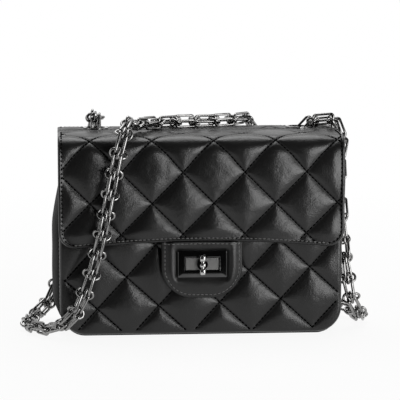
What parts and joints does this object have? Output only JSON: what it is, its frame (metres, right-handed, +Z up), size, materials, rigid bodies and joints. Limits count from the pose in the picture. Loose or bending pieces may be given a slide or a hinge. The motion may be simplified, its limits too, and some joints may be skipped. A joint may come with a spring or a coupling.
{
  "type": "chain shoulder bag",
  "caption": "Small quilted leather shoulder bag with a hinged front flap, a turn lock, a zipped inside pocket and a double-row metal chain strap that runs through grommets.",
  "frame": {"origin": "middle of the flat bottom, on the surface that the bag stands on", "axes": "+X along the bag's width to the viewer's right, +Y from the front with the flap to the back, +Z up"},
  "size_m": [0.2535, 0.1003, 0.1604],
  "materials": {
    "leather": "soft grained, slight sheen",
    "lining": "smooth, matt",
    "board": "matt fibre board",
    "tape": "woven",
    "chain": "polished gunmetal",
    "polished": "polished",
    "black_metal": "gloss black"
  },
  "bodies": {
    "shell": {"front_panel": "leather", "back_panel": "leather", "gusset": "leather", "base_board": "board", "lining_gusset": "lining", "lining_front": "lining", "lining_back": "lining", "mouth_binding": "leather", "slip_pocket": "lining", "zip_pouch": "lining", "zip_tape_lower": "tape", "zip_tape_upper": "tape", "zip_teeth": "chain", "zip_stops": "chain", "top_yoke": "leather", "left_grommet": "polished", "left_grommet_washer": "polished", "right_grommet": "polished", "right_grommet_washer": "polished", "strap_end_bars": "chain", "lock_base": "polished", "lock_base_washer": "chain", "lock_base_rivets": "chain", "strap_left_rings": "chain", "strap_left_long_links": "chain", "strap_front_rings": "chain", "strap_front_long_links": "chain", "strap_right_rings": "chain", "strap_right_long_links": "chain"},
    "flap": {"flap_outer": "leather", "flap_lining": "lining", "flap_tab": "leather", "tab_backing": "lining", "lock_plate": "black_metal", "lock_back_plate": "black_metal", "lock_plate_screws": "chain"},
    "lock_turner": {"lock_post": "black_metal", "lock_post_clip": "chain", "lock_knob": "polished"},
    "zip_slider": {"zip_slider_body": "chain", "zip_pin": "chain"},
    "zip_puller": {"zip_pull": "chain"}
  },
  "joints": [
    {"name": "flap_open", "type": "hinge", "parent": "shell", "child": "flap", "pos_m": [0, 0.0022, 0.1405], "axis": [-1, 0, 0], "range_deg": [0, 100], "deforming": ["strap_front_rings", "strap_front_long_links"]},
    {"name": "lock_turn", "type": "hinge", "parent": "shell", "child": "lock_turner", "pos_m": [0, -0.037, 0.0524], "axis": [0, 1, 0], "range_deg": [0, 90]},
    {"name": "zip_slide", "type": "slide", "parent": "shell", "child": "zip_slider", "axis": [1, 0, 0], "range_m": [0, 0.116]},
    {"name": "zip_pull_swing", "type": "hinge", "parent": "zip_slider", "child": "zip_puller", "pos_m": [-0.058, 0.0182, 0.104], "axis": [-1, 0, 0], "range_deg": [0, 90]}
  ]
}
